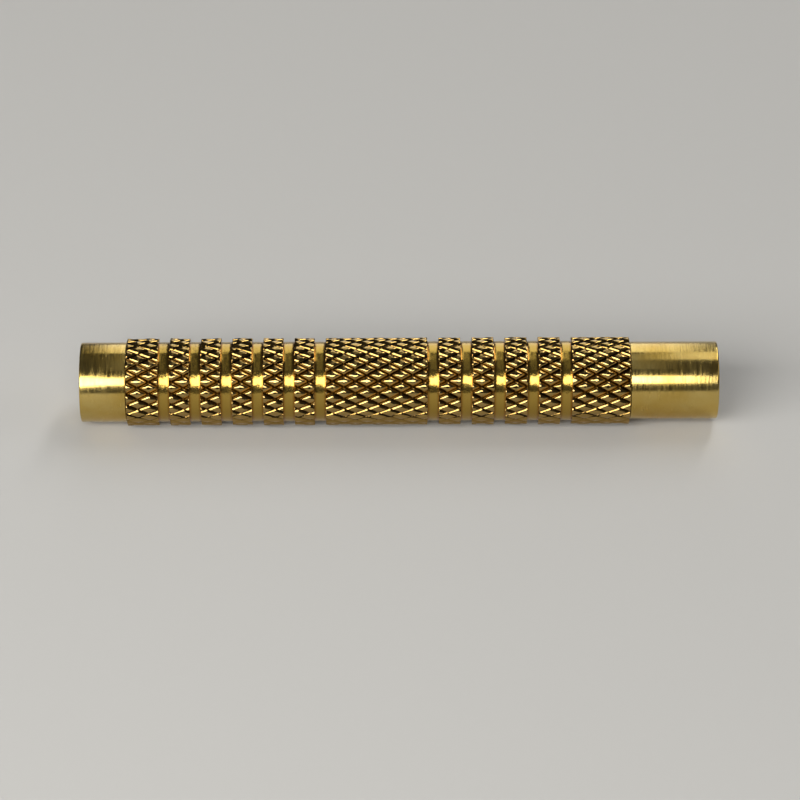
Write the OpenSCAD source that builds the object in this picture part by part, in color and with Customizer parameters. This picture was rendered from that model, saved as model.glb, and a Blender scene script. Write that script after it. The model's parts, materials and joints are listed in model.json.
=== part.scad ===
// Direct-vision hand spectroscope: a knurled brass grip over a plain body tube, a turning
// slit ring at one end, and a draw tube with the collimator and a five-prism train at the other.
// The optical axis is X. The slit is at -X, the eye at +X, and the origin is at mid-length.

/* [Overall] */
// Length with the draw tube pushed home
length = 94.5; // [90:0.5:100]
// Diameter over the knurl crests
grip_d = 13; // [12.5:0.1:14]

/* [Grip knurl] */
// Ridges in each of the two crossing spirals
knurl_teeth = 22; // [18:1:28]
// Angle between a ridge and the axis
knurl_angle = 29; // [25:1:35]
// Depth from crest to valley
knurl_depth = 0.45; // [0.3:0.05:0.5]

/* [Grip grooves] */
// Depth from the knurl crests to a groove's floor
groove_depth = 0.58; // [0.5:0.02:0.7]
// Width of a groove
groove_w = 1.65; // [1.2:0.05:2]
// Grooves in the row near the slit
slit_grooves = 6; // [2:1:7]
// Sleeve end to the middle of the first groove near the slit
slit_groove_first = 5.55; // [4:0.05:7]
// Spacing of the grooves near the slit
slit_groove_pitch = 4.62; // [4:0.02:5]
// Grooves in the row near the eye
eye_grooves = 5; // [2:1:6]
// Sleeve end to the middle of the first groove near the eye
eye_groove_first = 9.45; // [6:0.05:10]
// Spacing of the grooves near the eye
eye_groove_pitch = 4.92; // [4:0.02:5.2]

/* [Body tube] */
// Wall of the grip sleeve under a groove
sleeve_wall = 0.4; // [0.3:0.05:0.5]
// Wall of the body tube
body_wall = 0.55; // [0.45:0.05:0.6]
// Wall of the bush that guides the draw tube
bush_wall = 0.38; // [0.3:0.02:0.45]
// Length of the bush that guides the draw tube
bush_len = 7.5; // [6:0.5:10]
// Diameter of the guide pin
guide_pin_d = 0.8; // [0.6:0.05:1]

/* [Slit ring] */
// Length of the plain slit ring
slit_ring_len = 6.8; // [6.6:0.1:8]
// Outside diameter of the slit ring
slit_ring_d = 11.8; // [11.2:0.1:12.4]
// Wall of the slit ring, outside its journal
ring_side_wall = 1.25; // [1.1:0.05:1.3]
// Thickness of the slit ring's front wall
ring_wall = 2.2; // [2.1:0.1:2.4]
// Diameter of the light opening in the front wall
ring_light_d = 5.2; // [4.6:0.1:5.4]
// Chamfer on the plain ends
edge_chamfer = 0.25; // [0.1:0.05:0.4]

/* [Slit] */
// Slit width at rest
slit_w = 0.2; // [0.12:0.02:0.3]
// Slit width with the ring turned shut
closed_w = 0.02; // [0.01:0.01:0.04]
// Height of the slit that light passes
slit_h = 3.2; // [2.4:0.1:3.4]
// Distance from a jaw pin's middle to the jaw's outer end
jaw_pin_inset = 0.73; // [0.65:0.02:0.8]
// Diameter of a jaw pin
jaw_pin_d = 0.6; // [0.5:0.05:0.7]
// Travel of each jaw for one radian of the ring
cam_lift = 0.24; // [0.15:0.01:0.26]
// Turn of the ring that opens the slit fully
open_turn = 100; // [60:5:105]
// Thickness of a jaw
jaw_t = 0.6; // [0.5:0.05:0.7]
// Width of a jaw, along the slit
jaw_w = 4; // [3.8:0.1:4.2]
// Thickness of the keeper plate over the jaws
keeper_t = 0.5; // [0.45:0.05:0.6]
// Length of the hub's spigot in the body tube
hub_spigot = 6; // [4:0.5:8]
// Wall of the hub's spigot
spigot_wall = 1.5; // [0.8:0.1:1.8]
// Distance of a keeper screw's middle inside the journal
screw_inset = 1.3; // [1.2:0.05:1.35]
// Length of a keeper screw
screw_len = 2.2; // [1.8:0.1:2.6]

/* [Slit window] */
// Diameter of the glass over the slit
window_d = 7; // [6.6:0.1:7.4]
// Thickness of the glass over the slit
window_t = 0.6; // [0.5:0.05:0.7]
// Depth of the window's retaining ring
window_ring_t = 0.35; // [0.3:0.05:0.4]

/* [Draw tube] */
// Wall of the draw tube
draw_wall = 0.5; // [0.45:0.05:0.55]
// Distance from the slit end to the draw tube's inner end
draw_start = 36; // [32:0.5:38]
// Length of the collar on the draw tube's inner end
collar_len = 3.5; // [3:0.1:5]
// How far the draw tube pulls out
draw_travel = 8; // [4:0.5:10]
// Depth of the guide pin's keyway
keyway_depth = 0.3; // [0.2:0.02:0.34]

/* [Collimator] */
// Wall of the cell round the two lenses
cell_wall = 0.33; // [0.25:0.02:0.5]
// Thickness of the crown lens at its middle
crown_t = 1.9; // [1.7:0.1:2.2]
// Thickness of the flint lens at its middle
flint_t = 0.8; // [0.7:0.1:1.2]
// Radius of the crown lens's free face
crown_r = 16; // [13:0.5:30]
// Radius of the face the two lenses share
shared_r = 12; // [11:0.5:20]

/* [Prisms] */
// Wall of the prism holder at the trough's corners
corner_wall = 0.37; // [0.3:0.02:0.6]
// Apex angle of a flint prism
flint_apex = 100; // [85:1:104]
// Glass beyond the apex on the first and last prism
prism_margin = 0.8; // [0.4:0.1:1.2]
// Clear distance from the lens cell to the prism holder
spacer_len = 4.4; // [3:0.2:7]

/* [Eyepiece] */
// Length of the plain eyepiece barrel
eyepiece_len = 13; // [12.5:0.5:15]
// Outside diameter of the eyepiece barrel
eyepiece_d = 11.5; // [11:0.1:12.4]
// How far the draw tube screws into the barrel
eyepiece_socket = 7.5; // [5:0.5:8]
// Depth of the recess at the eye
eye_recess = 3; // [2.8:0.1:3.5]
// Wall of the barrel round the recess at the eye
eye_wall = 1.4; // [1.2:0.1:1.6]
// Diameter of the hole in the eye stop
eye_hole_d = 3.2; // [2:0.1:4]

/* [Fits] */
// Running clearance on a radius
run_gap = 0.05; // [0.03:0.01:0.06]
// Clearance on a radius where a piece is screwed or cemented in
seat_gap = 0.02; // [0.01:0.01:0.03]
// Clearance between faces that turn or slide past each other
face_gap = 0.1; // [0.06:0.02:0.12]

/* [Hidden] */
$fn = 96;

brass = "#c8a24a";
dark_brass = "#6b5628";
blackened = "#26241f";
bronze = "#a5713a";
crown_glass = "#d8ece6";
flint_glass = "#d9e2ee";
cork = "#b98d5c";
steel = "#9a9c9e";

cut = 0.5;            // how far a cutter runs past what it cuts
grip_r = grip_d / 2;
valley_r = grip_r - knurl_depth;
groove_r = grip_r - groove_depth;
body_r = groove_r - sleeve_wall - seat_gap;
bore_r = body_r - body_wall;
draw_r = bore_r - seat_gap - bush_wall - run_gap;
draw_bore_r = draw_r - draw_wall;
lining_r = draw_bore_r - seat_gap;
notch_w = 0.7;

// Stations along the axis, measured from the slit end's face
sleeve_start = slit_ring_len + face_gap;
sleeve_end = length - eyepiece_len - face_gap;
sleeve_len = sleeve_end - sleeve_start;
hub_front = ring_wall + face_gap + keeper_t;
cam_depth = 0.5;
jaw_front = hub_front + face_gap / 2;
jaw_back = jaw_front + jaw_t;
channel_floor = jaw_back + face_gap / 2;
ring_bore_r = slit_ring_d / 2 - ring_side_wall;
journal_r = ring_bore_r - run_gap;
jaw_opening = cam_lift * open_turn * PI / 180;
jaw_closing = (slit_w - closed_w) / 2;
close_turn = jaw_closing / cam_lift * 180 / PI;
jaw_outer_r = ring_bore_r - face_gap - jaw_opening;
jaw_pin_reach = jaw_outer_r - jaw_pin_inset;
hub_wall_t = 0.6;
spigot_bore_r = bore_r - seat_gap - spigot_wall;
screw_reach = journal_r - screw_inset;
screw_d = 0.8;
screw_head_d = 1.4;
screw_head_t = 0.3;
screw_slot_w = 0.2;
screw_slot_t = 0.14;
screw_hole_end = hub_front + screw_len - keeper_t + seat_gap;
spigot_bore_start = screw_hole_end + hub_wall_t;
keeper_web = 0.28;
keeper_light_r = screw_reach - screw_head_d / 2 - seat_gap - keeper_web;
window_ring_set = 0.1;
window_seat = window_ring_set + window_ring_t + seat_gap;
window_ring_lip = 0.15;
cement_t = 0.01;
clip_w = 0.4;
clip_t = 0.55;
clip_split_w = 1.6;
clip_inset = 1.35;
clip_start = slit_ring_len - clip_inset;
clip_groove_depth = 0.35;
clip_floor_r = journal_r - clip_groove_depth;
collar_r = bore_r - run_gap;
bush_start = sleeve_end - bush_len;
guide_station = bush_start + bush_len / 2;
keyway_floor_r = draw_r - keyway_depth;
friction_w = 1;
friction_split_w = 0.8;
friction_start = draw_start + (collar_len - friction_w) / 2;
friction_floor_r = draw_r + seat_gap;
draw_end = length - eyepiece_len + eyepiece_socket;

// Knurl: the axis is divided into whole half-diamonds
knurl_step = 360 / (2 * knurl_teeth);
half_diamond = PI * grip_d / knurl_teeth / tan(knurl_angle) / 2;
knurl_cells = round(sleeve_len / half_diamond);

// Collimator stations
cell_inset = 0.3;
cell_start = draw_start + cell_inset;
lens_r = lining_r - cell_wall - run_gap;
lens_lip_w = 0.4;
lens_clear_r = lens_r - lens_lip_w;
lens_ring_t = 0.7;
lens_bulge = crown_r - sqrt(crown_r * crown_r - lens_clear_r * lens_clear_r);
lens_front = cell_start + lens_ring_t - lens_bulge + seat_gap;
shared_face = lens_front + crown_t;
lens_back = shared_face + flint_t;
cell_lip = 1.2;
cell_end = lens_back + cell_lip;
spacer_wall = 0.5;

// Prism stations
prism_room = 0.05;
trough_half = (lining_r - corner_wall) / sqrt(2);
prism_w = 2 * (trough_half - prism_room);
light_way_inset = 0.3;
light_way_r = prism_w / 2 - light_way_inset;
prism_half_base = prism_w * tan(flint_apex / 2);
prism_train = 4 * prism_half_base + 2 * prism_margin;
prism_lip = 0.8;
holder_start = cell_end + spacer_len;
prism_start = holder_start + prism_lip;
holder_end = prism_start + prism_train + face_gap;
holder_ring_t = 1;
pad_t = 0.4;
pad_inset = 0.2;
spring_t = 0.15;
spring_w = 2.6;
spring_inset = 1.5;
spring_top = sqrt(pow(draw_bore_r, 2) - pow(spring_w / 2, 2)) - run_gap;
pad_top = prism_w / 2 + pad_t;

// Eye stations
recess_floor = length - eye_recess;
eye_stop_t = 0.4;
eye_glass_t = 1;
eye_ring_t = 0.7;
eye_ledge = 1;
barrel_step = 1.2;
barrel_bore_r = draw_bore_r - barrel_step;
eye_recess_r = eyepiece_d / 2 - eye_wall;
eye_glass_r = eye_recess_r - run_gap;

// Draws its children with their Z along the optical axis, s from the slit end
module on_axis(s = 0) translate([s - length / 2, 0, 0]) rotate([0, 90, 0]) children();

// Moves its children along the optical axis without turning them
module at(s) translate([s - length / 2, 0, 0]) children();

module tube(start, end, outer_r, inner_r) {
    on_axis(start) difference() {
        cylinder(r = outer_r, h = end - start);
        translate([0, 0, -cut]) cylinder(r = inner_r, h = end - start + 2 * cut);
    }
}

module rod(start, end, r) {
    on_axis(start) cylinder(r = r, h = end - start);
}

// A round profile of [radius, station] pairs turned about the axis
module turned(profile) {
    on_axis() rotate_extrude() polygon(profile);
}

// A flat outline in the X-Y plane, given a height in Z and centred on the axis
module slab(outline, height) {
    translate([0, 0, -height / 2]) linear_extrude(height = height) polygon(outline);
}

// The part of a ring that is cut away to leave it split
module split_gap(start, end, gap_w) {
    at(start - cut) translate([0, -gap_w / 2, 0]) cube([end - start + 2 * cut, gap_w, grip_r]);
}

// Two notches across a retaining ring's face, for a pin spanner
module spanner_notches(face, depth, side) {
    at(side > 0 ? face - depth : face - cut)
        translate([0, -notch_w / 2, -grip_r]) cube([depth + cut, notch_w, 2 * grip_r]);
}

// ---- Grip ----

// A bar whose skin is two crossing spirals of V grooves, which leave four-sided pyramids
module knurled_bar(len) {
    around = 2 * knurl_teeth;
    function station(i) = i * len / knurl_cells;
    function is_crest(i, j) = (i + j) % 2 == 0;
    function skin(i, j) = let (r = is_crest(i, j) ? grip_r : valley_r)
        [r * cos(j * knurl_step), r * sin(j * knurl_step), station(i)];
    function id(i, j) = i * around + j % around;
    skin_points = [for (i = [0:knurl_cells]) for (j = [0:around - 1]) skin(i, j)];
    first_centre = len(skin_points);
    last_centre = first_centre + 1;
    // Each cell is split along the valley that crosses it
    skin_faces = [
        for (i = [0:knurl_cells - 1]) for (j = [0:around - 1])
            each is_crest(i, j)
                ? [[id(i, j), id(i + 1, j), id(i, j + 1)], [id(i + 1, j), id(i + 1, j + 1), id(i, j + 1)]]
                : [[id(i, j), id(i + 1, j), id(i + 1, j + 1)], [id(i, j), id(i + 1, j + 1), id(i, j + 1)]]
    ];
    end_faces = [
        for (j = [0:around - 1])
            each [[first_centre, id(0, j), id(0, j + 1)],
                  [last_centre, id(knurl_cells, j + 1), id(knurl_cells, j)]]
    ];
    polyhedron(points = concat(skin_points, [[0, 0, 0], [0, 0, len]]),
               faces = concat(skin_faces, end_faces), convexity = 6);
}

// One turned relief groove, given the station of its middle
module groove(middle) {
    difference() {
        rod(middle - groove_w / 2, middle + groove_w / 2, grip_r + cut);
        rod(middle - groove_w, middle + groove_w, groove_r);
    }
}

module grip_sleeve() {
    color(brass) difference() {
        on_axis(sleeve_start) knurled_bar(sleeve_len);
        for (k = [0:slit_grooves - 1])
            groove(sleeve_start + slit_groove_first + k * slit_groove_pitch);
        for (k = [0:eye_grooves - 1])
            groove(sleeve_end - eye_groove_first - k * eye_groove_pitch);
        rod(sleeve_start - cut, sleeve_end + cut, body_r + seat_gap);
    }
}

// ---- Body ----

// The guide pin's hole runs through the wall
module body_tube() {
    color(dark_brass) difference() {
        tube(sleeve_start, sleeve_end, body_r, bore_r);
        guide_drill(seat_gap);
    }
}

module guide_drill(gap) {
    at(guide_station) rotate([180, 0, 0]) cylinder(d = guide_pin_d + 2 * gap, h = grip_r);
}

module end_bush() {
    color(brass) difference() {
        tube(bush_start, sleeve_end, bore_r - seat_gap, draw_r + run_gap);
        guide_drill(seat_gap);
    }
}

// A dowel under the grip, whose tip runs in the draw tube's keyway
module guide_pin() {
    tip_r = keyway_floor_r + run_gap;
    color(steel) at(guide_station) rotate([180, 0, 0]) translate([0, 0, tip_r])
        cylinder(d = guide_pin_d, h = body_r - face_gap - tip_r);
}

// ---- Slit ----

// Carries the jaws in a cross channel, and the slit ring on its journal
module slit_hub() {
    color(blackened) difference() {
        union() {
            rod(hub_front, sleeve_start, journal_r);
            rod(sleeve_start - face_gap / 2, sleeve_start + hub_spigot, bore_r - seat_gap);
        }
        rod(hub_front - cut, spigot_bore_start + cut, slit_h / 2);
        rod(spigot_bore_start, sleeve_start + hub_spigot + cut, spigot_bore_r);
        at(hub_front - cut) translate([0, -grip_r, -jaw_w / 2 - run_gap])
            cube([channel_floor - hub_front + cut, 2 * grip_r, jaw_w + 2 * run_gap]);
        difference() {
            rod(clip_start - face_gap / 2, clip_start + clip_w + face_gap / 2, grip_r);
            rod(clip_start - cut, clip_start + clip_w + cut, clip_floor_r);
        }
        keeper_screw_holes();
    }
}

module keeper_screw_holes() {
    for (side = [-1, 1]) at(hub_front - cut) translate([0, 0, side * screw_reach])
        rotate([0, 90, 0]) cylinder(d = screw_d + 2 * seat_gap, h = screw_hole_end - hub_front + cut);
}

// A split ring that bridges a groove in the hub and one in the slit ring
module ring_clip() {
    inner = clip_floor_r + run_gap;
    color(steel) difference() {
        tube(clip_start, clip_start + clip_w, inner + clip_t, inner);
        split_gap(clip_start, clip_start + clip_w, clip_split_w);
    }
}

module jaw_keeper() {
    slot_w = jaw_pin_d + 4 * run_gap;
    slot_in = jaw_pin_reach - jaw_closing - face_gap;
    slot_out = jaw_pin_reach + jaw_opening + face_gap;
    start = hub_front - keeper_t;
    color(brass) difference() {
        tube(start, hub_front, journal_r - run_gap, keeper_light_r);
        for (side = [-1, 1]) {
            at(start - cut) {
                for (r = [slot_in, slot_out]) translate([0, side * r, 0])
                    rotate([0, 90, 0]) cylinder(d = slot_w, h = keeper_t + 2 * cut);
                translate([0, side > 0 ? slot_in : -slot_out, -slot_w / 2])
                    cube([keeper_t + 2 * cut, slot_out - slot_in, slot_w]);
            }
            at(start) translate([0, 0, side * screw_reach]) screw_form(seat_gap, keeper_t + cut);
        }
    }
}

// A countersunk screw, its head's face at X = 0
module screw_form(gap, len) {
    rotate([0, 90, 0]) {
        translate([0, 0, -gap])
            cylinder(d1 = screw_head_d + 2 * gap, d2 = screw_d + 2 * gap, h = screw_head_t + gap);
        cylinder(d = screw_d + 2 * gap, h = len);
    }
}

module keeper_screws() {
    start = hub_front - keeper_t;
    for (side = [-1, 1]) color(steel) difference() {
        at(start) translate([0, 0, side * screw_reach]) screw_form(0, screw_len);
        at(start - cut) translate([0, -screw_head_d, side * screw_reach - screw_slot_w / 2])
            cube([screw_slot_t + cut, 2 * screw_head_d, screw_slot_w]);
    }
}

// The spiral that the jaw pin runs in, as seen along the axis
function cam_radius(turn) = jaw_pin_reach + cam_lift * turn * PI / 180;

module cam_slot() {
    half = jaw_pin_d / 2 + run_gap;
    steps = 24;
    function turn(k) = -close_turn + k * (close_turn + open_turn) / steps;
    function spot(k, r) = [r * sin(turn(k)), r * cos(turn(k))];
    linear_extrude(height = cam_depth + cut) union() {
        polygon(concat([for (k = [0:steps]) spot(k, cam_radius(turn(k)) - half)],
                       [for (k = [steps:-1:0]) spot(k, cam_radius(turn(k)) + half)]));
        for (k = [0, steps]) translate(spot(k, cam_radius(turn(k)))) circle(r = half);
    }
}

// Turns on the hub; its front wall carries the window and, inside, the jaws' spiral slots
module slit_ring() {
    color(brass) difference() {
        turned([[ring_light_d / 2, 0], [slit_ring_d / 2 - edge_chamfer, 0],
                [slit_ring_d / 2, edge_chamfer], [slit_ring_d / 2, slit_ring_len],
                [ring_bore_r, slit_ring_len], [ring_bore_r, ring_wall],
                [ring_light_d / 2, ring_wall]]);
        rod(-cut, window_seat + window_t, window_d / 2 + run_gap);
        for (half_turn = [0, 180])
            on_axis(ring_wall - cam_depth) rotate([0, 0, half_turn]) cam_slot();
        rod(clip_start - face_gap / 2, clip_start + clip_w + face_gap / 2,
            clip_floor_r + run_gap + clip_t + run_gap);
    }
}

module slit_window() {
    color(crown_glass) rod(window_seat, window_seat + window_t - cement_t, window_d / 2);
}

module window_ring() {
    color(brass) difference() {
        tube(window_ring_set, window_ring_set + window_ring_t, window_d / 2 + run_gap - seat_gap,
             ring_light_d / 2 + window_ring_lip);
        spanner_notches(window_ring_set, window_ring_t / 2, -1);
    }
}

// One jaw: a plate with a knife edge at the slit and an outer end rounded to the hub
module jaw(side) {
    edge = slit_w / 2;
    land = 0.06;
    x0 = jaw_front - length / 2;
    x1 = jaw_back - length / 2;
    color(blackened) difference() {
        intersection() {
            slab([[x0 + land, side * edge], [x0, side * edge], [x0, side * jaw_outer_r],
                  [x1, side * jaw_outer_r], [x1, side * (edge + jaw_t - land)]], jaw_w);
            rod(jaw_front - cut, jaw_back + cut, jaw_outer_r);
        }
        at(jaw_front - cut) translate([0, side * jaw_pin_reach, 0]) rotate([0, 90, 0])
            cylinder(d = jaw_pin_d + seat_gap, h = jaw_t + 2 * cut);
    }
}

module jaw_left() jaw(-1);

module jaw_right() jaw(1);

// Pressed into the jaw, with its front end in the ring's spiral
module jaw_pin(side) {
    pin_front = ring_wall - cam_depth + face_gap;
    color(steel) at(pin_front) translate([0, side * jaw_pin_reach, 0]) rotate([0, 90, 0])
        cylinder(d = jaw_pin_d, h = jaw_back - pin_front);
}

module jaw_pin_left() jaw_pin(-1);

module jaw_pin_right() jaw_pin(1);

// ---- Draw tube ----

module draw_tube() {
    color(brass) difference() {
        union() {
            tube(draw_start, draw_end, draw_r, draw_bore_r);
            tube(draw_start, draw_start + collar_len, collar_r, draw_bore_r);
        }
        difference() {
            rod(friction_start - run_gap, friction_start + friction_w + run_gap, grip_r);
            rod(friction_start - cut, friction_start + friction_w + cut, friction_floor_r);
        }
        keyway();
    }
}

// A flat-floored slot below the axis, as long as the travel, that stops at the guide pin
module keyway() {
    slot_w = guide_pin_d + 2 * run_gap;
    first = guide_station - draw_travel - face_gap;
    last = guide_station + face_gap;
    for (s = [first, last]) at(s) rotate([180, 0, 0]) translate([0, 0, keyway_floor_r])
        cylinder(d = slot_w, h = draw_wall + cut);
    at(first) translate([0, -slot_w / 2, -keyway_floor_r - draw_wall - cut])
        cube([last - first, slot_w, draw_wall + cut]);
}

// A split spring ring that drags on the body's bore and holds the focus
module friction_ring() {
    color(bronze) difference() {
        tube(friction_start, friction_start + friction_w, bore_r - seat_gap, friction_floor_r + seat_gap);
        split_gap(friction_start, friction_start + friction_w, friction_split_w);
    }
}

// ---- Collimator ----

module lens_cell() {
    color(blackened) difference() {
        rod(cell_start, cell_end, lining_r);
        rod(cell_start - cut, lens_back, lens_r + run_gap);
        rod(lens_back - cut, cell_end + cut, lens_clear_r);
    }
}

// A lens face as [radius, station] points from the axis to the rim; side is 1 where its rim lies
// nearer the eye than its middle, and -1 where it lies nearer the slit
function lens_face(middle, r, side) = let (steps = 12) [
    for (k = [0:steps]) let (out = lens_r * k / steps)
        [out, middle + side * (r - sqrt(r * r - out * out))]
];

function backwards(list) = [for (k = [len(list) - 1:-1:0]) list[k]];

// Biconvex; its back face is the one that the flint lens shares
module crown_lens() {
    color(crown_glass)
        turned(concat(lens_face(lens_front, crown_r, 1), backwards(lens_face(shared_face, shared_r, -1))));
}

module flint_lens() {
    color(flint_glass)
        turned(concat(lens_face(shared_face, shared_r, -1), [[lens_r, lens_back], [0, lens_back]]));
}

module lens_ring() {
    color(blackened) difference() {
        tube(cell_start, cell_start + lens_ring_t, lens_r + run_gap - seat_gap, lens_clear_r);
        spanner_notches(cell_start, lens_ring_t / 2, -1);
    }
}

module spacer_tube() {
    color(blackened) tube(cell_end, holder_start, lining_r, lining_r - spacer_wall);
}

// ---- Prisms ----

// A trough with an end lip at the collimator side, open above for the prisms
module prism_holder() {
    color(blackened) difference() {
        rod(holder_start, holder_end, lining_r);
        at(prism_start - prism_room) translate([0, -trough_half, -trough_half])
            cube([holder_end - prism_start + cut, 2 * trough_half, draw_bore_r + trough_half]);
        rod(holder_start - cut, prism_start + cut, light_way_r);
    }
}

// Corners of the zigzag where the prisms meet: odd ones are below, in -Y
function corner(k) = [prism_start + prism_margin + k * prism_half_base - length / 2,
                      (k % 2 == 0 ? 1 : -1) * prism_w / 2];

module end_prism(station, k) {
    x = station - length / 2;
    slab([[x, -prism_w / 2], [x, prism_w / 2], corner(k + k % 2), corner(k + 1 - k % 2)], prism_w);
}

module inner_prism(k) {
    slab([corner(k), corner(k + 1), corner(k + 2)], prism_w);
}

module entry_crown_prism() color(crown_glass) end_prism(prism_start, 0);

module first_flint_prism() color(flint_glass) inner_prism(0);

module middle_crown_prism() color(crown_glass) inner_prism(1);

module second_flint_prism() color(flint_glass) inner_prism(2);

module exit_crown_prism() color(crown_glass) end_prism(prism_start + prism_train, 3);

module prism_pad() {
    color(cork) at(prism_start) translate([0, -prism_w / 2 + pad_inset, prism_w / 2])
        cube([prism_train, prism_w - 2 * pad_inset, pad_t]);
}

// A bowed leaf between the pad and the draw tube's wall
module prism_spring() {
    rise = spring_top - pad_top - spring_t;
    half = prism_train / 2 - spring_inset;
    bow_r = (half * half + rise * rise) / (2 * rise);
    bow_angle = asin(half / bow_r);
    steps = 16;
    function bend(k) = -bow_angle + 2 * bow_angle * k / steps;
    function arc(r) = [for (k = [0:steps]) [r * sin(bend(k)), r * cos(bend(k)) - bow_r]];
    color(bronze) at(prism_start + prism_train / 2)
        translate([0, spring_w / 2, pad_top + rise]) rotate([90, 0, 0])
            linear_extrude(height = spring_w) polygon(concat(arc(bow_r), backwards(arc(bow_r + spring_t))));
}

module holder_ring() {
    color(blackened) difference() {
        tube(holder_end, holder_end + holder_ring_t, lining_r, light_way_r);
        spanner_notches(holder_end + holder_ring_t, holder_ring_t / 2, 1);
    }
}

// ---- Eyepiece ----

module eyepiece_barrel() {
    outer = eyepiece_d / 2;
    start = length - eyepiece_len;
    color(brass) difference() {
        turned([[0, start], [outer, start], [outer, length - edge_chamfer],
                [outer - edge_chamfer, length], [0, length]]);
        rod(start - cut, draw_end, draw_r + seat_gap);
        rod(draw_end - cut, recess_floor + cut, barrel_bore_r);
        rod(recess_floor, length + cut, eye_recess_r);
    }
}

module eye_stop() {
    color(blackened) tube(recess_floor, recess_floor + eye_stop_t, eye_glass_r, eye_hole_d / 2);
}

module eye_window() {
    start = recess_floor + eye_stop_t;
    color(crown_glass) rod(start, start + eye_glass_t, eye_glass_r);
}

module eye_ring() {
    start = recess_floor + eye_stop_t + eye_glass_t;
    color(brass) difference() {
        tube(start, start + eye_ring_t, eye_recess_r - seat_gap, eye_glass_r - eye_ledge);
        spanner_notches(start + eye_ring_t, eye_ring_t / 2, 1);
    }
}

grip_sleeve();
body_tube();
end_bush();
guide_pin();
slit_hub();
ring_clip();
jaw_keeper();
keeper_screws();
slit_ring();
slit_window();
window_ring();
jaw_left();
jaw_right();
jaw_pin_left();
jaw_pin_right();
draw_tube();
friction_ring();
lens_cell();
crown_lens();
flint_lens();
lens_ring();
spacer_tube();
prism_holder();
entry_crown_prism();
first_flint_prism();
middle_crown_prism();
second_flint_prism();
exit_crown_prism();
prism_pad();
prism_spring();
holder_ring();
eyepiece_barrel();
eye_stop();
eye_window();
eye_ring();
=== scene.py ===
import json
import math

import bpy
import numpy as np
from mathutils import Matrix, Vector


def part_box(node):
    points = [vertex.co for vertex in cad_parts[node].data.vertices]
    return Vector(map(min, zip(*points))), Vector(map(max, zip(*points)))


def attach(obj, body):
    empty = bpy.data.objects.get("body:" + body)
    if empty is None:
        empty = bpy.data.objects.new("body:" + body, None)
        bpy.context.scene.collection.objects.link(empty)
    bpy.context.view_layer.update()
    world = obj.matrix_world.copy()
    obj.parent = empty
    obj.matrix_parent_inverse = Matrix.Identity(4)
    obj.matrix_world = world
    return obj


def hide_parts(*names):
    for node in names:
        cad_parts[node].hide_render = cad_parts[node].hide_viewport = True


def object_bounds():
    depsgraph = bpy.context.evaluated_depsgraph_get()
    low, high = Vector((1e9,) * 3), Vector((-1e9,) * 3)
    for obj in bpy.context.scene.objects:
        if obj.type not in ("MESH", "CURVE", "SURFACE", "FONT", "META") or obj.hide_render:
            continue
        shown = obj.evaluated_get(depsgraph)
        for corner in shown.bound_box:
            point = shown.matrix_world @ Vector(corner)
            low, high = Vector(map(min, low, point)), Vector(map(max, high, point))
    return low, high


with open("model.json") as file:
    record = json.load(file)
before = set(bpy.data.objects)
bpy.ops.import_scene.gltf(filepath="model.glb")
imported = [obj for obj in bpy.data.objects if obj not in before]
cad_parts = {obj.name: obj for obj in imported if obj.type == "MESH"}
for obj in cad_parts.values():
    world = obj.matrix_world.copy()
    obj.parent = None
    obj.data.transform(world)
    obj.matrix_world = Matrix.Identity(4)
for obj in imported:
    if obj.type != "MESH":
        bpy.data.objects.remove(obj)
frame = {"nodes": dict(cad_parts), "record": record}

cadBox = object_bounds()
mm = 0.001
nodes = frame["nodes"]


def boxOf(node):
    # where a CAD node lies along the optical axis, and its outer radius
    low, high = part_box(node)
    return {"left": low.x, "right": high.x, "radius": high.z}


def toLinear(hexColour, alpha=1.0):
    parts = [int(hexColour[i:i + 2], 16) / 255 for i in (1, 3, 5)]
    linear = [p / 12.92 if p <= 0.04045 else ((p + 0.055) / 1.055) ** 2.4 for p in parts]
    return (*linear, alpha)


def patternScale(size):
    # noise scale that gives a pattern of this size in mm
    return 1 / (size * mm)


def addNode(tree, kind, settings=None, links=None):
    # settings: attributes and socket values; links: input socket -> (node, output socket)
    node = tree.nodes.new(kind)
    for key, value in (settings or {}).items():
        if isinstance(key, str) and hasattr(node, key):
            setattr(node, key, value)
        else:
            node.inputs[key].default_value = value
    for key, (source, output) in (links or {}).items():
        tree.links.new(source.outputs[output], node.inputs[key])
    return node


def newMaterial(name):
    material = bpy.data.materials.new(name)
    material.use_nodes = True
    material.node_tree.nodes.clear()
    return material, material.node_tree


def rampStops(ramp, stops):
    elements = ramp.color_ramp.elements
    while len(elements) < len(stops):
        elements.new(0.5)
    for element, (position, hexColour) in zip(elements, stops):
        element.position = position
        element.color = toLinear(hexColour)


def finishMaterial(tree, shader):
    addNode(tree, "ShaderNodeOutputMaterial", links={"Surface": (shader, "BSDF")})


def buildMesh(name, points, faces, sharpDegrees=40):
    mesh = bpy.data.meshes.new(name)
    mesh.from_pydata(points, [], faces)
    mesh.validate()
    mesh.shade_smooth()
    mesh.set_sharp_from_angle(angle=math.radians(sharpDegrees))
    piece = bpy.data.objects.new(name, mesh)
    bpy.context.scene.collection.objects.link(piece)
    return piece


def easedOutline(corners, steps=6):
    # corners: (x, radius, rounding) of a closed outline; each rounding becomes a short curve
    outline = []
    count = len(corners)
    for i, (x, r, rounding) in enumerate(corners):
        corner = Vector((x, r))
        before = Vector(corners[i - 1][:2]) - corner
        after = Vector(corners[(i + 1) % count][:2]) - corner
        if rounding <= 0:
            outline.append((x, r))
            continue
        start = corner + before.normalized() * rounding
        end = corner + after.normalized() * rounding
        for k in range(steps + 1):
            t = k / steps
            point = start.lerp(corner, t).lerp(corner.lerp(end, t), t)
            outline.append((point.x, point.y))
    return outline


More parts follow.
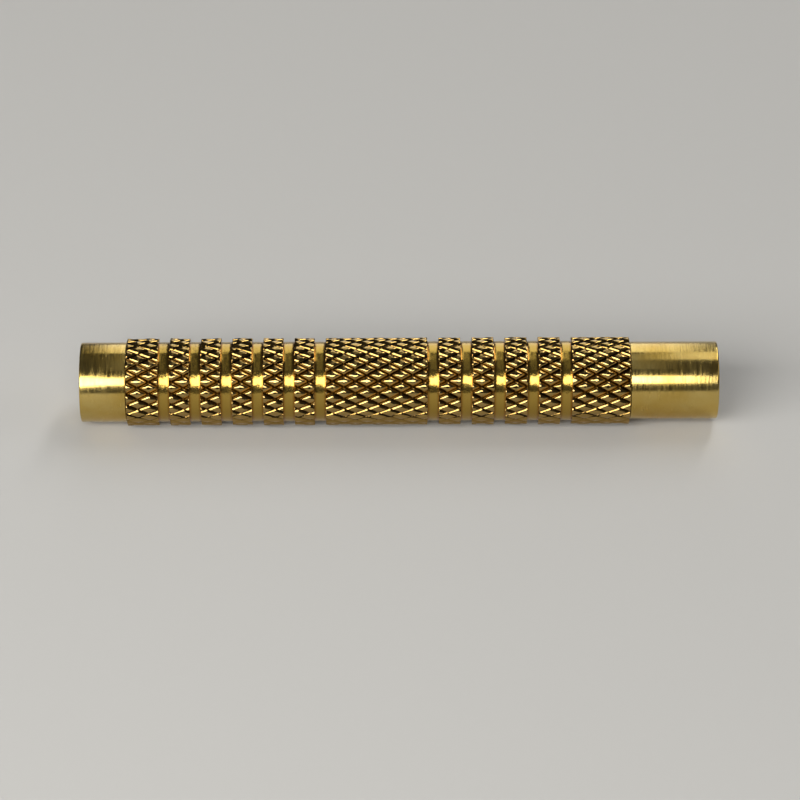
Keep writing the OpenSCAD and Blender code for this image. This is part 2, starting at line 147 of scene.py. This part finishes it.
def turnOutline(name, outline, segments=288, sharpDegrees=30):
    # turns a closed outline of (x, radius) about the optical axis
    points = []
    for x, radius in outline:
        for k in range(segments):
            angle = 2 * math.pi * k / segments
            points.append((x, radius * math.cos(angle), radius * math.sin(angle)))
    faces = []
    count = len(outline)
    for i in range(count):
        n = (i + 1) % count
        for k in range(segments):
            m = (k + 1) % segments
            faces.append((i * segments + k, i * segments + m, n * segments + m, n * segments + k))
    return buildMesh(name, points, faces, sharpDegrees)


turnedBrassLook = {
    "metal": "#ccb26a",
    "tarnish": "#b8953f",
    "roughness": 0.18,
    "glossier": 0.08,      # how far the roughness falls on a polished mark
    "duller": 0.1,         # and how far it rises on a dull one
    "toolMark": 0.28,      # spacing of the turning marks, mm; coarser than the real feed, to show
    "markLength": 2.5,     # how far a mark runs round the turning before it fades, mm
    "markRelief": 0.02,    # mm
    "tarnishPatch": 6.0,   # size of the tarnish clouds, mm
    "dingSpacing": 2.6,    # typical distance between the small dings of use, mm
    "dingCore": 0.03,      # flat bottom and outer edge of a ding, as shares of that distance
    "dingEdge": 0.07,
    "dingRelief": 0.04,    # mm
}


def makeTurnedBrass(look):
    # Lathe-turned bare brass: rings of fine tool marks break up the edges of each reflection,
    # and a thin cloudy tarnish makes the yellow uneven.
    material, tree = newMaterial("turned bare brass")
    place = addNode(tree, "ShaderNodeTexCoord")
    rings = addNode(tree, "ShaderNodeMapping",
                    {"Scale": (patternScale(look["toolMark"]), patternScale(look["markLength"]),
                               patternScale(look["markLength"]))},
                    {"Vector": (place, "Object")})
    marks = addNode(tree, "ShaderNodeTexNoise", {"Scale": 1.0, "Detail": 3.0, "Roughness": 0.6},
                    {"Vector": (rings, "Vector")})
    clouds = addNode(tree, "ShaderNodeTexNoise",
                     {"Scale": patternScale(look["tarnishPatch"]), "Detail": 6.0, "Roughness": 0.6},
                     {"Vector": (place, "Object")})
    colour = addNode(tree, "ShaderNodeValToRGB", links={"Fac": (clouds, "Fac")})
    rampStops(colour, [(0.35, look["metal"]), (0.75, look["tarnish"])])
    gloss = addNode(tree, "ShaderNodeMapRange",
                    {"From Min": 0.3, "From Max": 0.7,
                     "To Min": look["roughness"] - look["glossier"],
                     "To Max": look["roughness"] + look["duller"]},
                    {"Value": (marks, "Fac")})
    cells = addNode(tree, "ShaderNodeTexVoronoi", {"Scale": patternScale(look["dingSpacing"])},
                    {"Vector": (place, "Object")})
    dings = addNode(tree, "ShaderNodeMapRange",
                    {"From Min": look["dingCore"], "From Max": look["dingEdge"]},
                    {"Value": (cells, "Distance")})
    dented = addNode(tree, "ShaderNodeBump",
                     {"Strength": 0.7, "Distance": look["dingRelief"] * mm},
                     {"Height": (dings, "Result")})
    bump = addNode(tree, "ShaderNodeBump",
                   {"Strength": 0.4, "Distance": look["markRelief"] * mm},
                   {"Height": (marks, "Fac"), "Normal": (dented, "Normal")})
    shader = addNode(tree, "ShaderNodeBsdfPrincipled", {"Metallic": 1.0},
                     {"Base Color": (colour, "Color"), "Roughness": (gloss, "Result"),
                      "Normal": (bump, "Normal")})
    finishMaterial(tree, shader)
    return material


knurledBrassLook = {
    # painted shade: the knurl's colour runs from crest through flank to a dark valley, darker down
    # into the hollows
    "crest": "#a88c54",
    "flank": "#8c703c",
    "valley": "#4e3a1a",
    "roughness": 0.07,
    "valleyDuller": 0.05,    # how much rougher the valleys are than the crests
    "grain": 0.12,           # size of the torn grain left by the knurling wheels, mm
    "grainRelief": 0.02,     # mm
    "grainShare": 0.5,       # how much the grain breaks up the painted shade
    "shadePatch": 2.5,      # size of the clouds that vary the painted shade, mm
    "patchShare": 0.3,       # how much the clouds move the painted shade
    "shadeFrom": 0.4,       # crest colour below this, full painted valley shade above the next value
    "shadeTo": 1.4,
    # painted light: the floor colour is warmer for light bounced off the knurled walls, and its edge
    # colour is painted shade
    "grooveFloor": "#ae9044",
    "grooveEdgeShade": "#8a5a1e",
    "grooveRoughness": 0.1,  # added to that of the crests
    "chatter": 0.8,          # size of the waves on the groove floors, mm
    "chatterRelief": 0.06,   # mm
}


def makeKnurledBrass(look):
    # Knurled brass: the crests stay bright, and painted shade darkens the flanks and valleys.
    material, tree = newMaterial("knurled brass with painted valley shade")
    place = addNode(tree, "ShaderNodeTexCoord")
    depth = addNode(tree, "ShaderNodeAttribute", {"attribute_name": "depth"})
    grain = addNode(tree, "ShaderNodeTexNoise",
                    {"Scale": patternScale(look["grain"]), "Detail": 4.0, "Roughness": 0.65},
                    {"Vector": (place, "Object")})
    clouds = addNode(tree, "ShaderNodeTexNoise",
                     {"Scale": patternScale(look["shadePatch"]), "Detail": 3.0},
                     {"Vector": (place, "Object")})
    mixed = addNode(tree, "ShaderNodeMath", {"operation": "MULTIPLY_ADD", 1: look["grainShare"]},
                    {0: (grain, "Fac"), 2: (depth, "Fac")})
    shifted = addNode(tree, "ShaderNodeMath", {"operation": "MULTIPLY_ADD", 1: look["patchShare"]},
                      {0: (clouds, "Fac"), 2: (mixed, "Value")})
    # painted shade mask: 0 on the crests, 1 deep in the valleys, broken up by grain and clouds; it
    # also sets the roughness
    paintedShade = addNode(tree, "ShaderNodeMapRange",
                     {"From Min": look["shadeFrom"], "From Max": look["shadeTo"]},
                     {"Value": (shifted, "Value")})
    colour = addNode(tree, "ShaderNodeValToRGB", links={"Fac": (paintedShade, "Result")})
    rampStops(colour, [(0.1, look["crest"]), (0.6, look["flank"]), (0.95, look["valley"])])
    gloss = addNode(tree, "ShaderNodeMapRange",
                    {"To Min": look["roughness"],
                     "To Max": look["roughness"] + look["valleyDuller"]},
                    {"Value": (paintedShade, "Result")})
    # The turned grooves between the knurled bands are painted a warmer gold for light bounced off the
    # knurled walls. Painted shade turns them brown at their edges, and they are slightly wavy from a
    # chattering tool. The "groove" mark is 0 on the knurl and above it in them.
    groove = addNode(tree, "ShaderNodeAttribute", {"attribute_name": "groove"})
    waves = addNode(tree, "ShaderNodeTexNoise",
                    {"Scale": patternScale(look["chatter"]), "Detail": 2.0},
                    {"Vector": (place, "Object")})
    edge = addNode(tree, "ShaderNodeMath", {"operation": "ABSOLUTE"}, {0: (groove, "Fac")})
    grooveBounceAndShade = addNode(tree, "ShaderNodeValToRGB", links={"Fac": (edge, "Value")})
    rampStops(grooveBounceAndShade, [(0.6, look["grooveFloor"]), (1.0, look["grooveEdgeShade"])])
    inGroove = addNode(tree, "ShaderNodeMath", {"operation": "GREATER_THAN", 1: 0.01},
                       {0: (edge, "Value")})
    finalColour = addNode(tree, "ShaderNodeMix", {"data_type": "RGBA"},
                          {0: (inGroove, "Value"), 6: (colour, "Color"), 7: (grooveBounceAndShade, "Color")})
    finalGloss = addNode(tree, "ShaderNodeMath",
                         {"operation": "MULTIPLY_ADD", 1: look["grooveRoughness"]},
                         {0: (inGroove, "Value"), 2: (gloss, "Result")})
    chatter = addNode(tree, "ShaderNodeMath", {"operation": "MULTIPLY"},
                      {0: (waves, "Fac"), 1: (inGroove, "Value")})
    wavy = addNode(tree, "ShaderNodeBump",
                   {"Strength": 0.6, "Distance": look["chatterRelief"] * mm},
                   {"Height": (chatter, "Value")})
    bump = addNode(tree, "ShaderNodeBump",
                   {"Strength": 0.2, "Distance": look["grainRelief"] * mm},
                   {"Height": (grain, "Fac"), "Normal": (wavy, "Normal")})
    shader = addNode(tree, "ShaderNodeBsdfPrincipled", {"Metallic": 1.0},
                     {"Base Color": (finalColour, 2), "Roughness": (finalGloss, "Value"),
                      "Normal": (bump, "Normal")})
    finishMaterial(tree, shader)
    return material


# The inner finishes share one build. grain is in mm, and stretch is how many times longer the grain
# is along the axis.
plainLooks = {
    # pulled through a die: long faint lines along a bright yellow tube
    "drawn brass": {"base": "#d2b768", "second": "#b8974c", "roughness": 0.2, "metallic": 1.0,
                    "grain": 0.12, "stretch": 25},
    # dipped to a soft brown-black, so that hardly any light comes back inside the tube
    "blackened brass": {"base": "#1d1a16", "second": "#0e0c0a", "roughness": 0.42, "metallic": 0.7,
                        "grain": 0.15, "stretch": 1},
    # cold-rolled strip: reddish, smooth and springy-looking
    "rolled phosphor bronze": {"base": "#c58a52", "second": "#9a6233", "roughness": 0.26,
                               "metallic": 1.0, "grain": 0.2, "stretch": 1},
    # turned on small lathes: cool grey with a clean shine
    "turned bright steel": {"base": "#b9bbbd", "second": "#8f9193", "roughness": 0.22,
                            "metallic": 1.0, "grain": 0.1, "stretch": 1},
    # cut from the sheet: matt, warm and speckled with dark pores
    "sliced cork": {"base": "#b98a5a", "second": "#7c5331", "roughness": 0.85, "metallic": 0.0,
                    "grain": 0.35, "stretch": 1},
}
grainRelief = 0.02   # mm
grainGloss = (0.06, 0.08)   # how far the roughness falls and rises with the grain


def makeGrained(name):
    look = plainLooks[name]
    material, tree = newMaterial(name)
    place = addNode(tree, "ShaderNodeTexCoord")
    drawn = addNode(tree, "ShaderNodeMapping", {"Scale": (1 / look["stretch"], 1.0, 1.0)},
                    {"Vector": (place, "Object")})
    grains = addNode(tree, "ShaderNodeTexNoise",
                     {"Scale": patternScale(look["grain"]), "Detail": 5.0},
                     {"Vector": (drawn, "Vector")})
    colour = addNode(tree, "ShaderNodeValToRGB", links={"Fac": (grains, "Fac")})
    rampStops(colour, [(0.4, look["base"]), (0.65, look["second"])])
    gloss = addNode(tree, "ShaderNodeMapRange",
                    {"To Min": look["roughness"] - grainGloss[0],
                     "To Max": look["roughness"] + grainGloss[1]},
                    {"Value": (grains, "Fac")})
    bump = addNode(tree, "ShaderNodeBump", {"Strength": 0.15, "Distance": grainRelief * mm},
                   {"Height": (grains, "Fac")})
    shader = addNode(tree, "ShaderNodeBsdfPrincipled", {"Metallic": look["metallic"]},
                     {"Base Color": (colour, "Color"), "Roughness": (gloss, "Result"),
                      "Normal": (bump, "Normal")})
    finishMaterial(tree, shader)
    return material


glassLooks = {
    "polished crown glass": {"tint": "#f3faf6", "index": 1.52},
    "polished flint glass": {"tint": "#f4f6fb", "index": 1.62},
}
glassDust = 0.4            # size of the dust patches, mm
glassGloss = (0.01, 0.12)  # roughness of the clean and the dusty glass


def makeGlass(name):
    # Ground and polished optical glass: clear, with a breath of dust that dulls its reflections.
    look = glassLooks[name]
    material, tree = newMaterial(name)
    place = addNode(tree, "ShaderNodeTexCoord")
    dust = addNode(tree, "ShaderNodeTexNoise", {"Scale": patternScale(glassDust), "Detail": 4.0},
                   {"Vector": (place, "Object")})
    gloss = addNode(tree, "ShaderNodeMapRange",
                    {"From Min": 0.5, "To Min": glassGloss[0], "To Max": glassGloss[1]},
                    {"Value": (dust, "Fac")})
    shader = addNode(tree, "ShaderNodeBsdfPrincipled",
                     {"Base Color": toLinear(look["tint"]), "Transmission Weight": 1.0,
                      "IOR": look["index"]},
                     {"Roughness": (gloss, "Result")})
    finishMaterial(tree, shader)
    return material


turnedBrass = makeTurnedBrass(turnedBrassLook)
knurledBrass = makeKnurledBrass(knurledBrassLook)
slotMaterials = {
    "knurled_brass": knurledBrass,
    "turned_brass": turnedBrass,
    "drawn_brass": makeGrained("drawn brass"),
    "blackened_brass": makeGrained("blackened brass"),
    "spring_bronze": makeGrained("rolled phosphor bronze"),
    "turned_steel": makeGrained("turned bright steel"),
    "sheet_cork": makeGrained("sliced cork"),
    "crown_glass": makeGlass("polished crown glass"),
    "flint_glass": makeGlass("polished flint glass"),
}
print("materials made:", len(slotMaterials))


# every CAD node gets its material, and most keep their shape
for part in frame["record"]["subparts"]:
    node = nodes[part["node"]]
    node.data.materials.clear()
    node.data.materials.append(slotMaterials[part["material_slot"]])
print("CAD nodes finished:", len(nodes))


gripKnurl = {
    "teeth": 22,            # ridges of each hand round the grip
    "cells": 44,            # half diamonds along the grip
    "samples": 6,           # mesh steps in half a diamond
    "depth": 0.45 * mm,
    "steepness": 3.0,       # 1 gives flat flanks; more gives pillowed tops with steep sides
    "unevenness": 0.05,     # how far crest heights differ, as a share of the depth
    "seed": 7,
    "boreGap": 0.02 * mm,   # between the sleeve and the tube inside it
    "boreChamfer": 0.05 * mm,
    "boreShade": 0.5,      # painted shade inside the bore: 0 is as bright as a crest, 1 as dark as a valley
}
gripGrooves = {
    "depth": 0.58 * mm,
    "width": 1.65 * mm,
    "slitCount": 6, "slitFirst": 5.55 * mm, "slitPitch": 4.62 * mm,   # from the slit end
    "eyeCount": 5, "eyeFirst": 9.45 * mm, "eyePitch": 4.92 * mm,      # from the eye end
    "edgeBreak": 0.06 * mm,                     # small radius on the corners of a knurled band
    "edgeRows": (0.0, 0.4, 1.0),                # where that radius is sampled, as shares of it
    "innerMargin": 1.3,                         # the evenly spaced rows start this many radii in
    "floorRows": (0.08, 0.3, 0.5, 0.7, 0.92),   # rows across a groove floor, as shares of its width
    # depth mark of the groove floor rows; in a groove it moves only the roughness
    "floorDepthMark": 0.12,
    "cornerRise": 0.04 * mm,                    # fillet at the foot of a groove's walls
    # depth mark of the rows at the foot of the groove walls; in a groove it moves only the roughness
    "cornerDepthMark": 0.3,
}


def knurlHeight(turns, along, steepness, diamonds):
    # turns: teeth round the grip, along: diamonds along it; both hands cross, the lower one shows
    first = turns + along
    second = turns - along
    firstRidge = np.round(first)
    secondRidge = np.round(second)
    reach = [1 - (2 * np.abs(place - ridge)) ** steepness
             for place, ridge in ((first, firstRidge), (second, secondRidge))]
    height = np.minimum(*reach)
    row = (firstRidge - secondRidge).astype(int) % diamonds.shape[0]
    column = (firstRidge + secondRidge).astype(int) % diamonds.shape[1]
    return np.clip(height * (1 + diamonds[row, column]), 0, 1), reach[0] < reach[1]


def bandLimits(start, end, grooves):
    # stretches of knurl between the turned grooves
    middles = [start + grooves["slitFirst"] + k * grooves["slitPitch"]
               for k in range(grooves["slitCount"])]
    middles += [end - grooves["eyeFirst"] - k * grooves["eyePitch"]
                for k in range(grooves["eyeCount"])]
    half = grooves["width"] / 2
    edges = [start] + [m + side * half for m in sorted(middles) for side in (-1, 1)] + [end]
    return list(zip(edges[0::2], edges[1::2]))


def makeKnurledGrip(knurl, grooves):
    sleeve = boxOf("grip_sleeve")
    start, end, crest = sleeve["left"], sleeve["right"], sleeve["radius"]
    bore = boxOf("body_tube")["radius"] + knurl["boreGap"]
    floor = crest - grooves["depth"]
    around = 2 * knurl["teeth"] * knurl["samples"]
    step = (end - start) / (knurl["cells"] * knurl["samples"])
    turns = np.arange(around) / around * knurl["teeth"] + knurl["teeth"] / 4   # a crest faces down
    angles = 2 * np.pi * np.arange(around) / around
    diamonds = np.random.default_rng(knurl["seed"]).normal(
        0, knurl["unevenness"], (2 * knurl["cells"], 2 * knurl["teeth"]))
    rows = []   # (x, radii, depth, knurled, groove)

    def diamondsAlong(x):
        return (x - start) / (end - start) * knurl["cells"] / 2

    def knurlRow(x, drop):
        height, _ = knurlHeight(turns, diamondsAlong(x), knurl["steepness"], diamonds)
        radii = crest - knurl["depth"] * (1 - height) - drop
        rows.append((x, np.maximum(radii, floor), 1 - height, True, 0.0))

    def plainRow(x, radius, depth, groove=0.0):
        rows.append((x, np.full(around, radius), np.full(around, depth), False, groove))

    def edgeDrop(x, low, high):
        # the corner of a band is broken by a small radius
        near = max(0.0, 1 - min(x - low, high - x) / grooves["edgeBreak"])
        return grooves["edgeBreak"] * near ** 2

    bands = bandLimits(start, end, grooves)
    edge = [grooves["edgeBreak"] * share for share in grooves["edgeRows"]]
    margin = grooves["innerMargin"] * grooves["edgeBreak"]
    corner = floor + grooves["cornerRise"]
    for index, (low, high) in enumerate(bands):
        if index:
            gap = low - bands[index - 1][1]
            for share in grooves["floorRows"]:
                mark = abs(2 * share - 1) * 0.9 + 0.1   # 0.1 mid-floor, 1 at its edges, where painted shade turns the floor brown
                plainRow(low - gap + gap * share, floor, grooves["floorDepthMark"], mark)
            plainRow(low, corner, grooves["cornerDepthMark"], 1.0)
        inner = [start + k * step for k in range(knurl["cells"] * knurl["samples"] + 1)]
        inner = [x for x in inner if low + margin < x < high - margin]
        for x in [low + e for e in edge] + inner + [high - e for e in reversed(edge)]:
            knurlRow(x, edgeDrop(x, low, high))
        if index < len(bands) - 1:
            plainRow(high, corner, grooves["cornerDepthMark"], 1.0)
    chamfer = knurl["boreChamfer"]
    for x, radius in ((end, bore + chamfer), (end - chamfer, bore),
                      (start + chamfer, bore), (start, bore + chamfer)):
        plainRow(x, radius, knurl["boreShade"])

    points = np.concatenate([
        np.stack([np.full(around, x), radii * np.cos(angles), radii * np.sin(angles)], 1)
        for x, radii, _, _, _ in rows])
    faces = []
    this = np.arange(around)
    following = (this + 1) % around
    midStep = 0.25 / knurl["samples"]   # half a mesh step round the grip, in teeth
    for i, (x, _, _, knurled, _) in enumerate(rows):
        n = (i + 1) % len(rows)
        a, b, c, d = (i * around + this, i * around + following,
                      n * around + following, n * around + this)
        if knurled and rows[n][3]:
            # each square is split along the ridge that it lies on, so crests and valleys stay sharp
            middle = diamondsAlong((x + rows[n][0]) / 2)
            _, onFirst = knurlHeight(turns + midStep, middle, knurl["steepness"], diamonds)
            for k in range(around):
                if onFirst[k]:
                    faces += [(a[k], b[k], d[k]), (b[k], c[k], d[k])]
                else:
                    faces += [(a[k], b[k], c[k]), (a[k], c[k], d[k])]
        else:
            faces += list(zip(a, b, c, d))
    grip = buildMesh("knurledGrip", points.tolist(), [tuple(int(v) for v in f) for f in faces], 50)
    depths = np.concatenate([depth for _, _, depth, _, _ in rows])
    grooveMarks = np.repeat([groove for _, _, _, _, groove in rows], around)
    for name, values in (("depth", depths), ("groove", grooveMarks)):
        attribute = grip.data.attributes.new(name, "FLOAT", "POINT")
        attribute.data.foreach_set("value", values.astype(np.float32))
    grip.data.materials.append(knurledBrass)
    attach(grip, "body")
    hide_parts("grip_sleeve")
    print("knurled grip made:", len(faces), "faces")


makeKnurledGrip(gripKnurl, gripGrooves)


turnedEnds = {
    "outerEdge": 0.28 * mm,   # rounding of the handled edges
    "innerEdge": 0.08 * mm,
    "shoulder": 0.1 * mm,     # rounding of the edge that meets the grip
    "stepEdge": 0.03 * mm,    # rounding of the steps inside
    "seatGap": 0.05 * mm,     # round a glass or stop in its recess
}
slitRingShape = {
    "light": 2.6 * mm,   # radius of the hole that the light comes in by
    "wall": 2.2 * mm,    # from the front face to the back of the inner wall
    "bore": 4.65 * mm,   # radius that turns on the hub's journal
}


def makeSlitRing(ends, shape):
    ring = boxOf("slit_ring")
    window = boxOf("slit_window")
    front, back, outer = ring["left"], ring["right"], ring["radius"]
    recess = window["radius"] + ends["seatGap"]
    wall = front + shape["wall"]
    outline = easedOutline([
        (front, recess, ends["innerEdge"]), (window["right"], recess, 0),
        (window["right"], shape["light"], ends["stepEdge"]), (wall, shape["light"], ends["stepEdge"]),
        (wall, shape["bore"], 0), (back, shape["bore"], ends["innerEdge"]),
        (back, outer, ends["shoulder"]), (front, outer, ends["outerEdge"]),
    ])
    piece = turnOutline("slitRingShell", outline)
    piece.data.materials.append(turnedBrass)
    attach(piece, "slit_ring")
    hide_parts("slit_ring")


eyepieceShape = {
    "socket": 4.52 * mm,   # radius of the socket for the draw tube
    "throat": 2.8 * mm,    # radius of the hole in the wall before the stop
}


def makeEyepieceBarrel(ends, shape):
    barrel = boxOf("eyepiece_barrel")
    tube = boxOf("draw_tube")
    stop = boxOf("eye_stop")
    front, back, outer = barrel["left"], barrel["right"], barrel["radius"]
    recess = stop["radius"] + ends["seatGap"]
    outline = easedOutline([
        (front, shape["socket"], ends["innerEdge"]), (tube["right"], shape["socket"], 0),
        (tube["right"], shape["throat"], ends["stepEdge"]),
        (stop["left"], shape["throat"], ends["stepEdge"]),
        (stop["left"], recess, 0), (back, recess, ends["innerEdge"]),
        (back, outer, ends["outerEdge"]), (front, outer, ends["shoulder"]),
    ])
    piece = turnOutline("eyepieceShell", outline)
    piece.data.materials.append(turnedBrass)
    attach(piece, "draw")
    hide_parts("eyepiece_barrel")


makeSlitRing(turnedEnds, slitRingShape)
makeEyepieceBarrel(turnedEnds, eyepieceShape)
print("plain ends made")


floorSetup = {
    "colour": "#bfbdb8",
    "size": 6.0,
    "roughness": 0.8,
    "specular": 0.3,
    "fibre": 0.8,        # size of the paper's fibre clumps, mm
    "relief": 0.05,      # mm
}


def makeFloor(setup):
    # Uncoated paper off a wide roll: matt and even, with a tooth too fine to catch the light.
    half = setup["size"] / 2
    height = cadBox[0].z
    floor = buildMesh("floor", [(-half, -half, height), (half, -half, height),
                                (half, half, height), (-half, half, height)], [(0, 1, 2, 3)])
    material, tree = newMaterial("matt studio paper")
    place = addNode(tree, "ShaderNodeTexCoord")
    fibre = addNode(tree, "ShaderNodeTexNoise",
                    {"Scale": patternScale(setup["fibre"]), "Detail": 4.0},
                    {"Vector": (place, "Object")})
    bump = addNode(tree, "ShaderNodeBump", {"Strength": 0.1, "Distance": setup["relief"] * mm},
                   {"Height": (fibre, "Fac")})
    shader = addNode(tree, "ShaderNodeBsdfPrincipled",
                     {"Base Color": toLinear(setup["colour"]), "Roughness": setup["roughness"],
                      "Specular IOR Level": setup["specular"]},
                     {"Normal": (bump, "Normal")})
    finishMaterial(tree, shader)
    floor.data.materials.append(material)


def direction(azimuth, elevation):
    a, e = math.radians(azimuth), math.radians(elevation)
    return Vector((math.sin(a) * math.cos(e), -math.cos(a) * math.cos(e), math.sin(e)))


def aim(thing, place, target):
    thing.location = place
    thing.rotation_euler = (target - place).to_track_quat("-Z", "Y").to_euler()


# Each lamp faces the optical axis. shift is its place along the axis, angle its place round it
# (0 the camera's side, 90 overhead, 180 behind), and size its width along the axis and its height.
lamps = {
    # the bright band along the plain ends and the squares in the grooves
    "keyLight": {"shift": 0.0, "angle": 34, "distance": 0.8, "size": (0.31, 0.3), "power": 1.75},
    # long, at the camera's height and out to the slit side: the slanting strokes on the knurl
    "keyStrip": {"shift": -1.0, "angle": 34, "distance": 0.8, "size": (1.7, 0.45), "power": 20.0},
    # broad fill from the far side
    "farRight": {"shift": 2.6, "angle": 75, "distance": 1.6, "size": (1.8, 1.8), "power": 12.5},
    # the softer bands on the upper half
    "backRight": {"shift": 0.46, "angle": 123, "distance": 1.2, "size": (0.2, 1.2), "power": 5.0},
    "backLight": {"shift": 0.02, "angle": 150, "distance": 1.2, "size": (0.3, 1.1), "power": 1.6},
    "rightBand": {"shift": 0.2, "angle": 111, "distance": 1.2, "size": (0.2, 0.62), "power": 0.42},
    "overhead": {"shift": 0.01, "angle": 92, "distance": 1.2, "size": (0.17, 1.2), "power": 0.16},
}


def makeLight(name, spec):
    lamp = bpy.data.lights.new(name, "AREA")
    lamp.shape = "RECTANGLE"
    lamp.size, lamp.size_y = spec["size"]
    lamp.energy = spec["power"]
    holder = bpy.data.objects.new(name, lamp)
    bpy.context.scene.collection.objects.link(holder)
    beside = Vector((spec["shift"], 0, 0))
    aim(holder, beside + direction(0, spec["angle"]) * spec["distance"], beside)


roomLight = {"colour": "#f2f4f7", "strength": 0.065}


def makeWorld(setup):
    world = bpy.data.worlds.new("studio")
    world.use_nodes = True
    tree = world.node_tree
    tree.nodes.clear()
    background = addNode(tree, "ShaderNodeBackground",
                         {"Color": toLinear(setup["colour"]), "Strength": setup["strength"]})
    addNode(tree, "ShaderNodeOutputWorld", links={"Surface": (background, "Background")})
    bpy.context.scene.world = world


cameraSetup = {
    "azimuth": -0.4, "elevation": 33.0, "distance": 0.602,
    "lens": 182.0, "sensor": 36.0,
    "farClip": 20.0,
    "axisShift": -0.13 * mm,   # how far right of the frame's middle the object sits
    "axisLift": 2.82 * mm,     # how far above the frame's middle the axis sits
}


def makeCamera(setup):
    data = bpy.data.cameras.new("camera")
    data.lens = setup["lens"]
    data.sensor_width = setup["sensor"]
    data.clip_end = setup["farClip"]
    camera = bpy.data.objects.new("camera", data)
    bpy.context.scene.collection.objects.link(camera)
    towards = direction(setup["azimuth"], setup["elevation"])
    side = Vector((0, 0, 1)).cross(towards).normalized()
    up = towards.cross(side).normalized()
    target = -up * setup["axisLift"] - side * setup["axisShift"]
    aim(camera, target + towards * setup["distance"], target)
    bpy.context.scene.camera = camera


makeFloor(floorSetup)
for lampName, lampSpec in lamps.items():
    makeLight(lampName, lampSpec)
makeWorld(roomLight)
makeCamera(cameraSetup)
bpy.context.scene.view_settings.view_transform = "Standard"
print("floor, lights and camera made")
